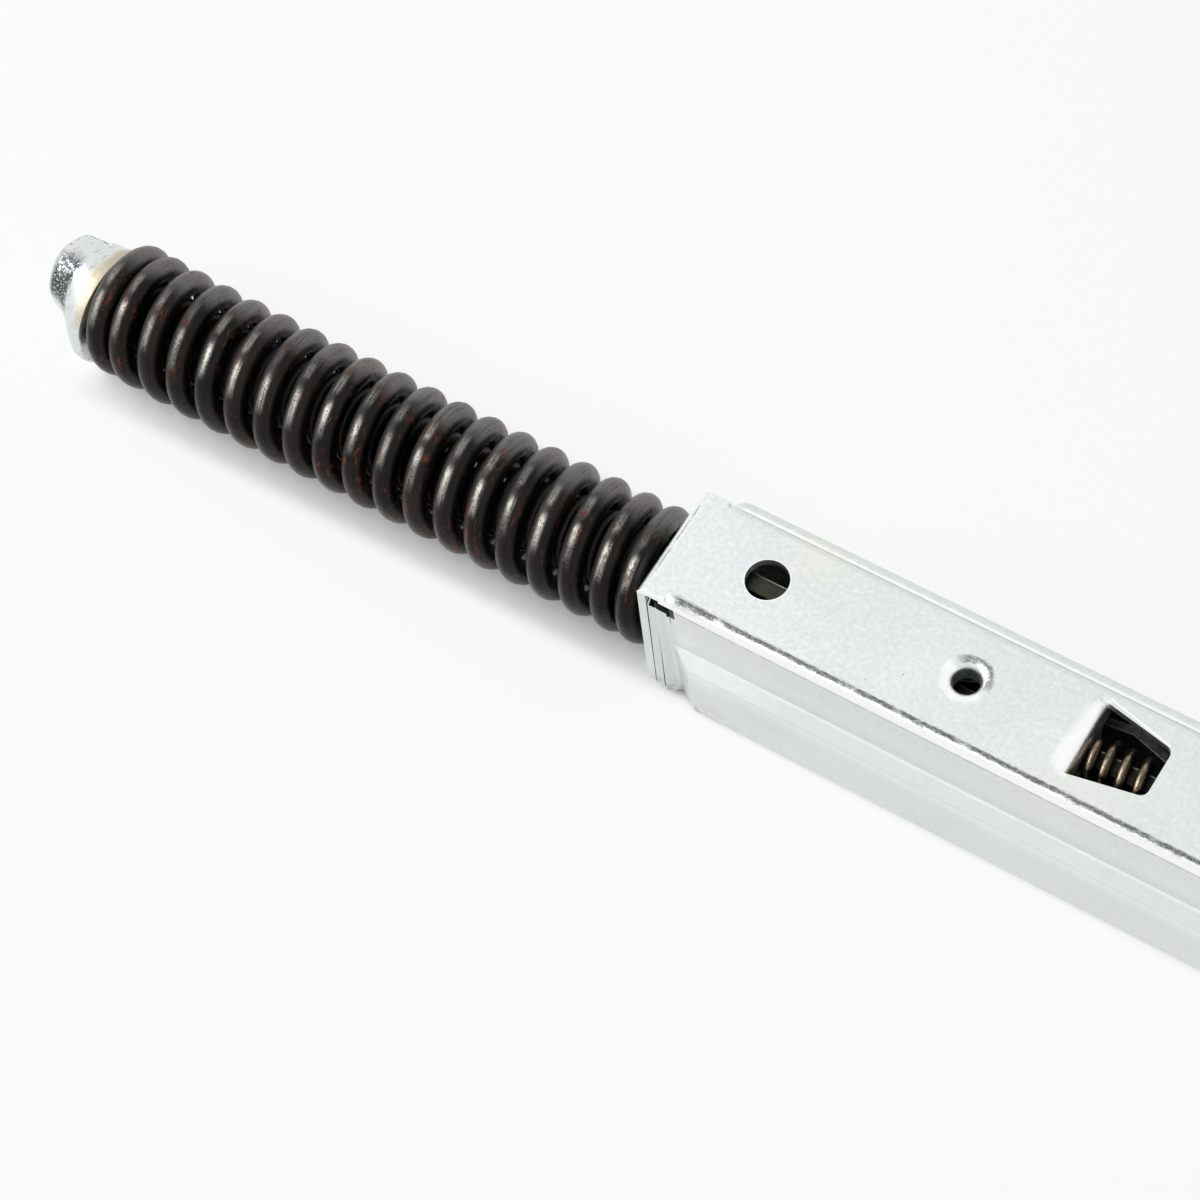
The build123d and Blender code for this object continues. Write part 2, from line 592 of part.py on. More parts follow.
def make_parts():
    inBushes = halfWidth - sheet - turningFit
    leverSide = leverHalf + 2 * sideGap
    bushSide = leverHalf + sideGap
    strapOut = strapNarrow + strapThick
    flatOut = barThick / 2 + rivetFit + strapThick
    latchOut = latchInner + latchThick + sideGap
    washerIn = rollerHalf + sideGap
    washerOut = washerIn + rollerWasher
    washerHole = rollerPinRadius + rivetFit
    armRivetX = pivotX + latchX
    parts = {
        "channel": make_channel(),
        "main_spring": make_main_spring(),
        "helper_spring": make_helper_spring(),
        "inner_spring": tube_along_x(innerOuter, innerOuter - innerWire, seatX + seatGap,
                                     endFace - seatGap, -axisDepth),
        "pull_bar": make_pull_bar(),
        "spring_seat": make_spring_seat(),
        "strap_near": make_strap(-1),
        "strap_far": make_strap(1),
        "helper_washer": make_helper_washer(),
        "roller": ring_along_y(rollerRadius, rollerPinRadius + turningFit, -rollerHalf, rollerHalf,
                               rollerX, -axisDepth),
        "roller_washer_near": ring_along_y(rollerWasherRadius, washerHole, -washerOut, -washerIn,
                                           rollerX, -axisDepth),
        "roller_washer_far": ring_along_y(rollerWasherRadius, washerHole, washerIn, washerOut,
                                          rollerX, -axisDepth),
        "roller_pin": make_rivet(rollerPinRadius, strapOut, pinHeadRadius, pinHead, rollerX, -axisDepth, 0.5),
        "pivot_pin": make_rivet(pivotRadius, halfWidth, *pivotHead, pivotX, -axisDepth, 1.0),
        "pivot_bush_near": ring_along_y(pivotBushRadius, pivotRadius + rivetFit, -inBushes, -leverSide,
                                        pivotX, -axisDepth),
        "pivot_bush_far": ring_along_y(pivotBushRadius, pivotRadius + rivetFit, leverSide, inBushes,
                                       pivotX, -axisDepth),
        "lever_plate_near": make_lever_layer(-leverHalf, -leverHalf + plateThick),
        "cam_plate": make_lever_layer(-plateThick / 2, plateThick / 2),
        "lever_plate_far": make_lever_layer(leverHalf - plateThick, leverHalf),
        "lever_bush": ring_along_y(leverBushRadius, pivotRadius + turningFit, -bushSide, bushSide,
                                   pivotX, -axisDepth),
        "latch": make_latch(),
        "latch_pin": make_rivet(latchPinRadius, latchOut, *latchPinHead, armRivetX, latchZ - axisDepth, 0.4),
    }
    for name, z in zip(("lever_rivet_inner", "lever_rivet_outer"), leverRivets):
        parts[name] = make_rivet(leverRivetRadius, leverHalf, rivetHeadRadius, rivetHead, armRivetX,
                                 z - axisDepth, 0.2)
    for name, x in zip(("strap_rivet_front", "strap_rivet_rear"), reversed(strapRivets)):
        parts[name] = make_rivet(strapRivetRadius, flatOut, *strapRivetHead, x, -axisDepth, 0.4)
    return parts


os.makedirs("parts", exist_ok=True)
for node, shape in make_parts().items():
    export_step(shape, f"parts/{node}.step")
    print(node, f"{shape.volume:.1f} mm3")
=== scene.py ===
# Oven-door hinge: springs, finishes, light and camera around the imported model. Metres.
import json
import math

import bmesh
import bpy
import numpy as np
from mathutils import Matrix, Quaternion, Vector

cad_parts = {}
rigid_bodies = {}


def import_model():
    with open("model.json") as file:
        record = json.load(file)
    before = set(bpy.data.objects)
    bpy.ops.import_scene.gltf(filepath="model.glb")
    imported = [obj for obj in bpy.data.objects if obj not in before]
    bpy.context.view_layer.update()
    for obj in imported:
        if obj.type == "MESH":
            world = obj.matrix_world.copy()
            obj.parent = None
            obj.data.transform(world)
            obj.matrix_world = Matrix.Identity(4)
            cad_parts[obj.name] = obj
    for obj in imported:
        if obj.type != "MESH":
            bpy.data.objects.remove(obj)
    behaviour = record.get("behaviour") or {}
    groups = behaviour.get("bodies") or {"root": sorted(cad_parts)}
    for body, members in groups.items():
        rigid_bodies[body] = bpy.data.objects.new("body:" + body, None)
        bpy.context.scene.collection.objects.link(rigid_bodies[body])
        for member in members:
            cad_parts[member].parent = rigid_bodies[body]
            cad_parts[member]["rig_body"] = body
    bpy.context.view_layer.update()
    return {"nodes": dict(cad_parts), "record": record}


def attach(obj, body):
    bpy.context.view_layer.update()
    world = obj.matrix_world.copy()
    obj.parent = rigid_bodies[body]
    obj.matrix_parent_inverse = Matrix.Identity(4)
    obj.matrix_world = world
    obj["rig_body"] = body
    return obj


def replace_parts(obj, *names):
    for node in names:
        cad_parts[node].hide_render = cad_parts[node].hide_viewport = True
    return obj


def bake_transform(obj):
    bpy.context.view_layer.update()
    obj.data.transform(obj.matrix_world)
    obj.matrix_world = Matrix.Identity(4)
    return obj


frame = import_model()
nodes = frame["nodes"]
parts = frame["record"]["subparts"]


# Shader maths

class Amount:
    def __init__(self, shading, socket):
        self.shading = shading
        self.socket = socket

    def reckon(self, operation, *others):
        return self.shading.add("ShaderNodeMath", {"operation": operation}, [self, *others])

    def __add__(self, other):
        return self.reckon("ADD", other)

    def __sub__(self, other):
        return self.reckon("SUBTRACT", other)

    def __rsub__(self, other):
        return self.shading.add("ShaderNodeMath", {"operation": "SUBTRACT"}, [other, self])

    def __mul__(self, other):
        return self.reckon("MULTIPLY", other)

    def __truediv__(self, other):
        return self.reckon("DIVIDE", other)

    def __pow__(self, other):
        return self.reckon("POWER", other)

    def most(self, other):
        return self.reckon("MAXIMUM", other)

    def least(self, other):
        return self.reckon("MINIMUM", other)

    def held(self):
        return self.most(0).least(1)

    def size(self):
        return self.reckon("ABSOLUTE")

    __radd__ = __add__
    __rmul__ = __mul__


class Shading:
    def __init__(self, tree):
        self.tree = tree

    def add(self, kind, settings=None, inputs=None, out=0):
        node = self.tree.nodes.new(kind)
        for key, value in (settings or {}).items():
            setattr(node, key, value)
        items = inputs.items() if isinstance(inputs, dict) else enumerate(inputs or [])
        for key, value in items:
            self.feed(node.inputs[key], value)
        return Amount(self, node.outputs[out])

    def feed(self, socket, value):
        if isinstance(value, Amount):
            self.tree.links.new(value.socket, socket)
        else:
            socket.default_value = value

    def seenOrMirrored(self, seenShare=1.0):
        seen, mirrored, through = [self.add("ShaderNodeLightPath", out=f"Is {kind} Ray")
                                   for kind in ("Camera", "Glossy", "Transmission")]
        return (seen * seenShare).most(mirrored).most(through)


class Finish(Shading):
    def __init__(self, name, constants):
        self.material = bpy.data.materials.new(name)
        self.material.use_nodes = True
        super().__init__(self.material.node_tree)
        self.shader = self.tree.nodes["Principled BSDF"]
        for socket, value in constants.items():
            self.shader.inputs[socket].default_value = value
        self.place = self.add("ShaderNodeTexCoord", out="Object")

    def stretch(self, vector, scale, turn=(0, 0, 0)):
        return self.add("ShaderNodeMapping", {}, {"Vector": vector, "Scale": scale, "Rotation": turn})

    def grain(self, scale, detail=3.0, rough=0.5, warp=0.0, vector=None):
        return self.add("ShaderNodeTexNoise", {}, {"Vector": vector or self.place, "Scale": scale,
                                                   "Detail": detail, "Roughness": rough, "Distortion": warp})

    def cells(self, scale):
        return self.add("ShaderNodeTexVoronoi", {}, {"Vector": self.place, "Scale": scale})

    def ramp(self, value, low, high, bottom=0.0, top=1.0):
        return self.add("ShaderNodeMapRange", {"interpolation_type": "SMOOTHSTEP"},
                        [value, low, high, bottom, top])

    def fade(self, value, full, gone):
        return self.ramp(value, full, gone, 1, 0)

    def band(self, value, start, full, last, end):
        return self.ramp(value, start, full) * self.fade(value, last, end)

    def mix(self, factor, first, second):
        node = self.tree.nodes.new("ShaderNodeMix")
        node.data_type = "RGBA"
        for i, value in ((0, factor), (6, first), (7, second)):  # factor and the two colours
            self.feed(node.inputs[i], (*value, 1) if isinstance(value, tuple) else value)
        return Amount(self, node.outputs[2])

    def paint(self, colour, *layers):
        for mask, tone in layers:
            colour = self.mix(mask, colour, tone)
        return colour

    def bump(self, height, strength, distance, normal=None):
        inputs = {"Strength": strength, "Distance": distance, "Height": height}
        if normal:
            inputs["Normal"] = normal
        return self.add("ShaderNodeBump", {}, inputs)

    def apart(self, vector):
        node = self.tree.nodes.new("ShaderNodeSeparateXYZ")
        self.feed(node.inputs[0], vector)
        return [Amount(self, socket) for socket in node.outputs]

    def dress(self, **sockets):
        for socket, value in sockets.items():
            self.feed(self.shader.inputs[socket.replace("_", " ")], value)
        return self.material


# In all settings a Grain is scale, detail, roughness and warp, and a Bump is strength and distance. Another
# pair says where a mark starts and is full, or is full and gone. Four numbers are a band with both its
# fades, or a pair with the shares at its two ends.

# Zinc-plated sheet and plates

zincSheet = {
    "light": (0.76, 0.8, 0.79),
    "dull": (0.68, 0.72, 0.715),
    "tint": (0.78, 0.76, 0.66),
    # Dark specks; the channel's painted shade line takes this colour too
    "speckAndShade": (0.2, 0.21, 0.21),
    "roughness": 0.33,
    "cloudGrain": (55.0, 4, 0.6, 0.4),
    "cloudShare": 0.3,
    "fineGrain": (1300, 3, 0.65),
    "fineBump": (0.25, 0.00008),
    "crystalScale": 1500,
    "mottle": (0.34, 0.66),
    "stainGrain": (26, 2),
    "stain": (0.56, 0.72),
    "stainShare": 0.25,
    "dotScale": 420,
    "dotReach": (0.05, 0.09),
    "dotGrain": (60, 2),
    "dotPatch": (0.58, 0.64),
    "dotShare": 0.6,
    "streakGrain": (220, 2, 0.6),
    "streakStretch": (0.12, 1, 1),
    "streak": (0.55, 0.75),
    "waveGrain": (45, 2, 0.4),
    "waveBump": (0.3, 0.0006),
}
leverSheet = {**zincSheet, "roughness": 0.38}
# The straps inside the channel get a dark copy of the zinc as painted shade
shadedStrapSheet = {**zincSheet, "light": (0.2, 0.21, 0.205), "dull": (0.1, 0.105, 0.1), "roughness": 0.4}
seatSheet = {**zincSheet, "roughness": 0.2, "cloudGrain": (110.0, 4, 0.6, 0.4)}
brightSheet = {**seatSheet, "tint": (0.78, 0.7, 0.5)}


def zincCoat(finish, look):
    broad, fine = finish.grain(*look["cloudGrain"]), finish.grain(*look["fineGrain"])
    crystal = finish.cells(look["crystalScale"])
    share = look["cloudShare"]
    mottle = finish.ramp(broad * share + fine * (1 - share), *look["mottle"])
    stained = finish.ramp(finish.grain(*look["stainGrain"]), *look["stain"])
    dots = finish.fade(finish.cells(look["dotScale"]), *look["dotReach"])
    dots = dots * finish.ramp(finish.grain(*look["dotGrain"]), *look["dotPatch"])
    colour = finish.paint(finish.mix(mottle, look["dull"], look["light"]),
                          (stained * look["stainShare"], look["tint"]),
                          (dots * look["dotShare"], look["speckAndShade"]))
    streak = finish.grain(*look["streakGrain"], vector=finish.stretch(finish.place, look["streakStretch"]))
    rough = fine * 0.16 + crystal * 0.05 + finish.ramp(streak, *look["streak"]) * 0.06 + dots * 0.2
    wavy = finish.bump(finish.grain(*look["waveGrain"]), *look["waveBump"])
    normal = finish.bump(fine * 0.5 + crystal * 0.2, *look["fineBump"], wavy)
    return colour, rough + (look["roughness"] - 0.09), normal  # the varying part is 0.09 on average


def zincFinish(name, look):
    finish = Finish(name, {"Metallic": 1.0})
    colour, rough, normal = zincCoat(finish, look)
    return finish.dress(Base_Color=colour, Roughness=rough, Normal=normal)


# The channel: scuffs along its near fold, a polished band below them painted near white as a highlight,
# painted highlights and shade on its walls, window and holes, oil by the holes, grey cut edges, painted black
# shade under the end's fold

channelMarks = {
    "webTopZ": (-0.0012, -0.0006),
    "nearFaceY": (-0.0109, -0.0108),
    "pastEndX": (-0.0105, -0.009),
    "raggedGrain": (2600, 4, 0.8),
    "raggedStretch": (0.35, 1, 1),
    "powderGrain": (5200, 3, 0.7),
    # Near white, used by the painted highlights below
    "bright": (0.97, 0.98, 0.98),
    # the scuffed line, and a polished band painted near white as a highlight
    "scuffColour": (0.1, 0.105, 0.105),
    "scuffY": -0.00965,
    "scuffX": (-0.0118, -0.0098),
    "scuffWidth": 0.00042,
    "scuffEdge": (0.4, 1.5),
    "widerX": (-0.012, 0.004),
    "wider": 0.8,
    "wanderGrain": (90, 2),
    "wander": 0.0004,
    "fray": 0.001,
    "scuffPowder": (0.34, 0.48, 0.35, 1),
    "scuffGrain": (220, 4, 0.75),
    "scuffPatch": (0.3, 0.5, 0.45, 1),
    "wornY": (-0.0107, -0.0101),
    "wornZ": (-0.0019, -0.0012),
    # lines along the folds and the end: a painted shade line and a painted highlight beside it on the far
    # side, a painted highlight on the end face's top
    "seamZ": -0.00178,
    "seamWidth": 0.00026,
    "seamRagged": (0.36, 0.55),
    "creaseY": 0.0087,
    "creaseWidth": (0.00006, 0.0002),
    "creaseRagged": (0.3, 0.6, 0.4, 1),
    "ledgeBeyond": 0.0004,
    "ledgeWidth": (0.0001, 0.0003),
    "endX": -0.0159,
    "endFace": (-0.0159, -0.0162),
    "endFaceZ": (-0.0016, -0.0008),
    "endFray": 0.0006,
    "endWidth": (0.00004, 0.00028),
    "endGrain": (300, 3, 0.7),
    "endPatch": (0.46, 0.56),
    # painted light and shade on the near wall: a lighter upper wall, a lens of painted highlight, a band of
    # painted shade below
    "slopeColour": (0.9, 0.93, 0.92),
    "slopeZ": (-0.0195, -0.0148, -0.0126, -0.0035),
    "slopeX": (-0.0115, -0.009),
    "lensX": (-0.0118, -0.006, -0.006, 0.004),
    "lensY": (-0.0113, -0.0111),
    "lensZ": (-0.0215, -0.0145),
    "shelfColour": (0.6, 0.64, 0.63),
    "shelfX": (-0.001, 0.012, 0.2, 0.6),
    "shelfY": (-0.0115, -0.0111),
    "shelfZ": (-0.0162, -0.015, -0.0133, -0.0126),
    # painted highlights on the window's rolled edge and its far edge
    "rollColour": (0.98, 0.98, 0.98),
    "rollHalf": 0.0076,
    "rollBow": 0.002,
    "rollLean": 0.06,
    "rollStart": (0.0512, 0.053),
    "rollEnd": (0.05492, 0.05496),
    "rollY": (0.0062, 0.0078),
    "rollZ": (-0.0034, -0.0012),
    "rimStart": (0.0549, 0.00705),
    "rimFall": 0.237,
    "rimWidth": (0.00005, 0.00015, 0.0003, 0.00045),
    "rimX": (0.0545, 0.0549, 0.0655, 0.0662),
    "rimZ": (-0.0008, -0.0004),
    # oil by the two holes, a painted highlight round the plain hole's rim, painted shade and glare round the
    # screw hole
    "oilColour": (0.8, 0.78, 0.62),
    "oilCentre": (0.0045, 0.0072),
    "oilReach": 0.007,
    "oilGrain": (180, 3),
    "oilRagged": 0.009,
    "oilShare": 0.32,
    "holeRim": (0.00356, 0.00374),
    "holeRimZ": (-0.0006, -0.0002),
    "screwX": 0.0345,
    "screwGrain": (420, 3, 0.7),
    "screwRagged": 0.0016,
    "screwLean": 0.45,
    "shadeColour": (0.09, 0.095, 0.095),
    "shadeReach": (0.0028, 0.0031, 0.0037, 0.0043),
    "shadeFacing": (0.15, 0.7),
    "shadeSpeckle": (0.36, 0.52),
    "glareReach": (0.0031, 0.0046),
    "glareFacing": (0.25, -0.3),
    # the end wall's cut edges, painted black shade over them under the fold, and the stained foot
    "cutColour": (0.68, 0.75, 0.73),
    "cutX": (-0.0155, -0.0153, -0.0119, -0.0117),
    "cutY": (-0.0108, -0.0106),
    "cutZ": (-0.0032, -0.003),
    "gapColour": (0.004, 0.004, 0.004),
    "gapX": (-0.01525, -0.01505, -0.0103, -0.0101),
    "gapY": (-0.0086, -0.0084),
    "gapTop": (-0.00135, -0.00127),
    "gapBottom": (-0.0033, -0.00318),
    "gapDeeper": 0.001,
    "gapDeeperX": (-0.0142, -0.0136),
    "legX": (-0.0117, -0.0115),
    "legBottom": (-0.0042, -0.0039),
    "footColour": (0.46, 0.42, 0.32),
    "footX": (-0.012, 0.006),
    "footZ": (-0.029, -0.0235),
    "footGrain": (420, 4, 0.7),
    "footPatch": (0.42, 0.58),
}


class ChannelFinish(Finish):
    def __init__(self, name, marks):
        super().__init__(name, {"Metallic": 1.0})
        self.marks = marks
        self.x, self.y, self.z = self.apart(self.place)
        self.top = self.ramp(self.z, *marks["webTopZ"])
        self.nearFace = self.fade(self.y, *marks["nearFaceY"])
        self.pastEnd = self.ramp(self.x, *marks["pastEndX"])
        self.ragged = self.grain(*marks["raggedGrain"],
                                 vector=self.stretch(self.place, marks["raggedStretch"]))
        self.powder = self.grain(*marks["powderGrain"])

    def away(self, centreX, centreY):
        x, y = self.x - centreX, self.y - centreY
        return (x * x + y * y) ** 0.5

    def scuff(self):
        marks = self.marks
        wander = (self.grain(*marks["wanderGrain"]) - 0.5) * marks["wander"]
        line = (self.y - marks["scuffY"] + wander).size() + (self.ragged - 0.5) * marks["fray"]
        width = (self.ramp(self.x, *marks["widerX"], marks["wider"], 0) + 1) * marks["scuffWidth"]
        inner, outer = marks["scuffEdge"]
        scuff = self.fade(line, width * inner, width * outer) * self.ramp(self.powder, *marks["scuffPowder"])
        scuff = scuff * self.ramp(self.grain(*marks["scuffGrain"]), *marks["scuffPatch"]) * self.top
        return scuff * self.ramp(self.x, *marks["scuffX"])

    # A polished band along the near fold, painted near white as a highlight
    def wornHighlightBand(self):
        return self.fade(self.y, *self.marks["wornY"]) * self.ramp(self.z, *self.marks["wornZ"])

    def seam(self):
        seam = self.fade((self.z - self.marks["seamZ"]).size(), 0, self.marks["seamWidth"])
        return seam * self.nearFace * self.ramp(self.ragged, *self.marks["seamRagged"])

    # A painted shade line along the far fold line of the web
    def creaseShade(self):
        creaseShade = self.fade((self.y - self.marks["creaseY"]).size(), *self.marks["creaseWidth"])
        return creaseShade * self.top * self.pastEnd * self.ramp(self.ragged, *self.marks["creaseRagged"])

    # A painted highlight on the far step beside that line, and on the end face's top
    def ledgeHighlight(self):
        marks = self.marks
        fromLedge = (self.y - (marks["creaseY"] + marks["ledgeBeyond"])).size()
        ledgeHighlight = self.fade(fromLedge, *marks["ledgeWidth"]) * self.pastEnd
        return ledgeHighlight.most(self.ramp(self.x, *marks["endFace"]) * self.ramp(self.z, *marks["endFaceZ"]))

    def rubbedEnd(self):
        marks = self.marks
        fromEnd = (self.x - marks["endX"]).size() + (self.ragged - 0.5) * marks["endFray"]
        rubbedHighlight = self.fade(fromEnd, *marks["endWidth"]) * self.top
        return rubbedHighlight * self.ramp(self.grain(*marks["endGrain"]), *marks["endPatch"])

    # Painted light: the upper near wall lighter, and a lens-shaped painted highlight where the bulge starts
    def slope(self):
        marks = self.marks
        slope = self.band(self.z, *marks["slopeZ"]) * self.nearFace * self.ramp(self.x, *marks["slopeX"])
        lens = self.band(self.x, *marks["lensX"]) * self.ramp(self.z, *marks["lensZ"])
        return (slope * 0.55).most(lens * self.fade(self.y, *marks["lensY"]) * 0.75)

    # A band of painted shade below the bulge's edge
    def shelfShade(self):
        shelfShade = self.band(self.z, *self.marks["shelfZ"]) * self.fade(self.y, *self.marks["shelfY"])
        return shelfShade * self.ramp(self.x, *self.marks["shelfX"])

    # A painted highlight on the window's rolled edge
    def roll(self):
        marks = self.marks
        bowed = self.x - (self.y / marks["rollHalf"]) ** 6 * marks["rollBow"] - self.y * marks["rollLean"]
        roll = self.ramp(bowed, *marks["rollStart"]) * self.fade(self.x, *marks["rollEnd"])
        return roll * self.ramp(self.z, *marks["rollZ"]) * self.fade(self.y.size(), *marks["rollY"])

    # A painted highlight along the window's far edge
    def rim(self):
        startX, startY = self.marks["rimStart"]
        beyond = self.y - startY + (self.x - startX) * self.marks["rimFall"]
        rim = self.band(beyond, *self.marks["rimWidth"]) * self.ramp(self.z, *self.marks["rimZ"])
        return rim * self.band(self.x, *self.marks["rimX"])

    def oil(self):
        marks = self.marks
        ragged = (self.grain(*marks["oilGrain"]) - 0.5) * marks["oilRagged"]
        oil = self.fade(self.away(*marks["oilCentre"]) + ragged, 0, marks["oilReach"])
        return oil * marks["oilShare"] * self.top

    # A painted highlight round the plain hole's rim
    def holeRim(self):
        return self.fade(self.away(0, 0), *self.marks["holeRim"]) * self.ramp(self.z, *self.marks["holeRimZ"])

    def screwRing(self):
        marks = self.marks
        ragged = (self.grain(*marks["screwGrain"]) - 0.5) * marks["screwRagged"]
        away = self.away(marks["screwX"], 0) + ragged
        facing = (self.y + (self.x - marks["screwX"]) * marks["screwLean"]) / away
        shade = self.band(away, *marks["shadeReach"]) * self.ramp(facing, *marks["shadeFacing"])
        shade = shade * self.ramp(self.powder * 0.5 + self.ragged * 0.5, *marks["shadeSpeckle"])
        glare = self.fade(away, *marks["glareReach"]) * self.ramp(facing, *marks["glareFacing"]) * self.top
        return shade, glare

    def cut(self):
        cut = self.band(self.x, *self.marks["cutX"]) * self.fade(self.y, *self.marks["cutY"])
        return cut * self.fade(self.z, *self.marks["cutZ"])

    # Painted black shade under the end's fold, over the layers' cut edges
    def gap(self):
        marks = self.marks
        start, full, last, end = marks["gapX"]
        underFold = self.fade(self.z, *marks["gapTop"])
        lowered = self.z + self.fade(self.x, *marks["gapDeeperX"]) * marks["gapDeeper"]
        gap = self.ramp(lowered, *marks["gapBottom"]) * underFold * self.ramp(self.x, start, full)
        leg = self.ramp(self.x, *marks["legX"]) * self.ramp(self.z, *marks["legBottom"]) * underFold
        return gap.most(leg) * self.fade(self.x, last, end) * self.fade(self.y, *marks["gapY"])

    def foot(self):
        marks = self.marks
        foot = self.fade(self.z, *marks["footZ"]) * self.fade(self.x, *marks["footX"])
        return foot * self.ramp(self.grain(*marks["footGrain"]), *marks["footPatch"])


def channelFinish(name, look, marks):
    finish = ChannelFinish(name, marks)
    colour, rough, normal = zincCoat(finish, look)
    scuff, wornHighlightBand, roll, cut = finish.scuff(), finish.wornHighlightBand(), finish.roll(), finish.cut()
    shade, glare = finish.screwRing()
    colour = finish.paint(
        colour,
        (wornHighlightBand * 0.9, marks["bright"]),
        (scuff, marks["scuffColour"]),
        (finish.seam() * 0.8, look["speckAndShade"]),
        (finish.creaseShade() * 0.45, look["speckAndShade"]),
        (finish.ledgeHighlight() * 0.7, marks["bright"]),
        (finish.rubbedEnd() * 0.55, look["speckAndShade"]),
        (finish.slope(), marks["slopeColour"]),
        (finish.shelfShade() * 0.75, marks["shelfColour"]),
        (roll, marks["rollColour"]),
        (finish.rim(), marks["bright"]),
        (finish.oil(), marks["oilColour"]),
        (cut * 0.6, marks["cutColour"]),
        (shade * 0.8, marks["shadeColour"]),
        (glare, marks["bright"]),
        (finish.holeRim() * 0.7, marks["bright"]),
        (finish.gap(), marks["gapColour"]),
        (finish.foot() * 0.9, marks["footColour"]),
    )
    rough = rough - wornHighlightBand * 0.1 - roll * 0.08 + scuff * 0.2 + cut * 0.15
    return finish.dress(Base_Color=colour, Roughness=rough, Normal=normal)


# The seat: bright zinc, a painted dark reflection at its tip, greasy and straw coloured by the spring, partly
# a painted reflection of the spring

seatMarks = {
    "cloudGrain": (240, 4, 0.7, 0.6),
    "wander": 0.004,
    "spotGrain": (2300, 4, 0.75),
    "scratchGrain": (1400, 3, 0.7),
    "scratchStretch": (1, 0.15, 0.6),
    "scratchTurn": (0, 0, 0.5),
    "scratch": (0.58, 0.68),
    "scratchShare": 0.5,
    "darkScratchAndReflection": (0.03, 0.036, 0.04),
    "darkReflectionX": (-0.136, -0.1346),
    "darkReflectionY": (0.0, 0.0022),
    "darkReflectionZ": (-0.0155, -0.0135),
    "darkReflectionSpots": (0.38, 0.48),
    "darkReflectionShare": 0.95,
    "tipX": (-0.1403, -0.1393),
    "greaseAndReflection": (0.55, 0.48, 0.32),
    "greaseAndReflectionWander": 0.0035,
    "greaseAndReflectionX": (-0.1328, -0.1316),
    "greaseAndReflectionZ": (-0.0155, -0.0115),
    "greaseAndReflectionSpots": (0.3, 0.55, 0.55, 1),
    "greaseAndReflectionShare": 0.9,
}


def seatFinish(name, look, marks):
    finish = Finish(name, {})
    colour, rough, normal = zincCoat(finish, look)
    x, y, z = finish.apart(finish.place)
    cloudy = finish.grain(*marks["cloudGrain"]) - 0.5
    wander = cloudy * marks["wander"]
    spots = finish.grain(*marks["spotGrain"])
    stretched = finish.stretch(finish.place, marks["scratchStretch"], marks["scratchTurn"])
    scratch = finish.ramp(finish.grain(*marks["scratchGrain"], vector=stretched), *marks["scratch"])
    # A painted dark reflection on the tip
    darkScratchAndReflection = finish.fade(x + wander, *marks["darkReflectionX"]) * finish.fade(y + wander, *marks["darkReflectionY"])
    darkScratchAndReflection = darkScratchAndReflection * finish.ramp(z, *marks["darkReflectionZ"]) * finish.ramp(x, *marks["tipX"])
    darkScratchAndReflection = darkScratchAndReflection * finish.ramp(spots, *marks["darkReflectionSpots"])
    # A greasy straw tint by the spring, partly a painted reflection of the spring
    greaseAndReflection = finish.ramp(x + cloudy * marks["greaseAndReflectionWander"], *marks["greaseAndReflectionX"])
    greaseAndReflection = greaseAndReflection * finish.ramp(z + wander, *marks["greaseAndReflectionZ"]) * finish.ramp(spots, *marks["greaseAndReflectionSpots"])
    colour = finish.paint(colour, (scratch * marks["scratchShare"], marks["darkScratchAndReflection"]),
                          (darkScratchAndReflection * marks["darkReflectionShare"], marks["darkScratchAndReflection"]),
                          (greaseAndReflection * marks["greaseAndReflectionShare"], marks["greaseAndReflection"]))
    return finish.dress(Base_Color=colour, Roughness=rough + spots * 0.12 + greaseAndReflection * 0.2,
                        Metallic=1 - greaseAndReflection * 0.5, Normal=normal)


# Spring wire: a dark oil tone, painted sheen on one flank and on the tops over dusty grey, painted highlight
# streaks, rust flecks

wireMarks = {
    "drawnGrain": (3800, 3, 0.65),
    "drawnStretch": (0.05, 1, 1),
    "patchGrain": (170, 4, 0.62, 0.5),
    "patchStretch": (0.5, 1, 1),
    "fineGrain": (3000, 3, 0.7),
    "sheenSide": (-1, 0.3, 0.5, 0.08),
    "greyWander": 0.006,
    "greyY": (0.0005, 0.006),
    "greyCrest": (-0.3, 0.5),
    "greySide": (-1, -0.1, 0.45, 0),
    "greyDrawn": (0.36, 0.54, 0.4, 1),
    "highlightWander": 0.004,
    "upperHighlight": (-0.0024, -0.0006, 0.001, 0.003),  # along y: starts, full, full, ends
    "lowerHighlight": (-0.0092, -0.0074, -0.0046, -0.0028),
    "highlightZ": (-0.019, -0.0165),
    "highlightSide": (0.16, 0.44),
    "highlightCrest": (0.4, 0.7),
    "highlightDrawn": (0.4, 0.54, 0.1, 1),
    "highlightGrain": (95, 2, 0.6),
    "highlightPatch": (0.36, 0.54, 0.35, 1),
    "fleckGrain": (1300, 4, 0.7),
    "fleckStretch": (0.45, 1, 1),
    "fleck": (0.55, 0.62),
    "fleckPatchGrain": (150, 3, 0.6),
    "fleckPatch": (0.47, 0.6),
    "pitGrain": (210, 3, 0.6),
    "pit": (0.48, 0.62),
    "wireBump": (0.5, 0.00008),
}
oiledWire = {
    **wireMarks,
    "dark": (0.006, 0.0048, 0.0042),
    "light": (0.04, 0.031, 0.026),
    "dustAndSheen": (0.175, 0.168, 0.16),
    "rubbedHighlight": (0.29, 0.28, 0.255),
    "rust": (0.17, 0.033, 0.016),
    "rustShare": 0.7,
    "dustAndSheenShare": 0.9,
    "rubbedHighlightShare": 1.0,
    "metal": 0.7,
    "roughness": 0.34,
    "pits": 1.0,
    "half": 0.00205,
}
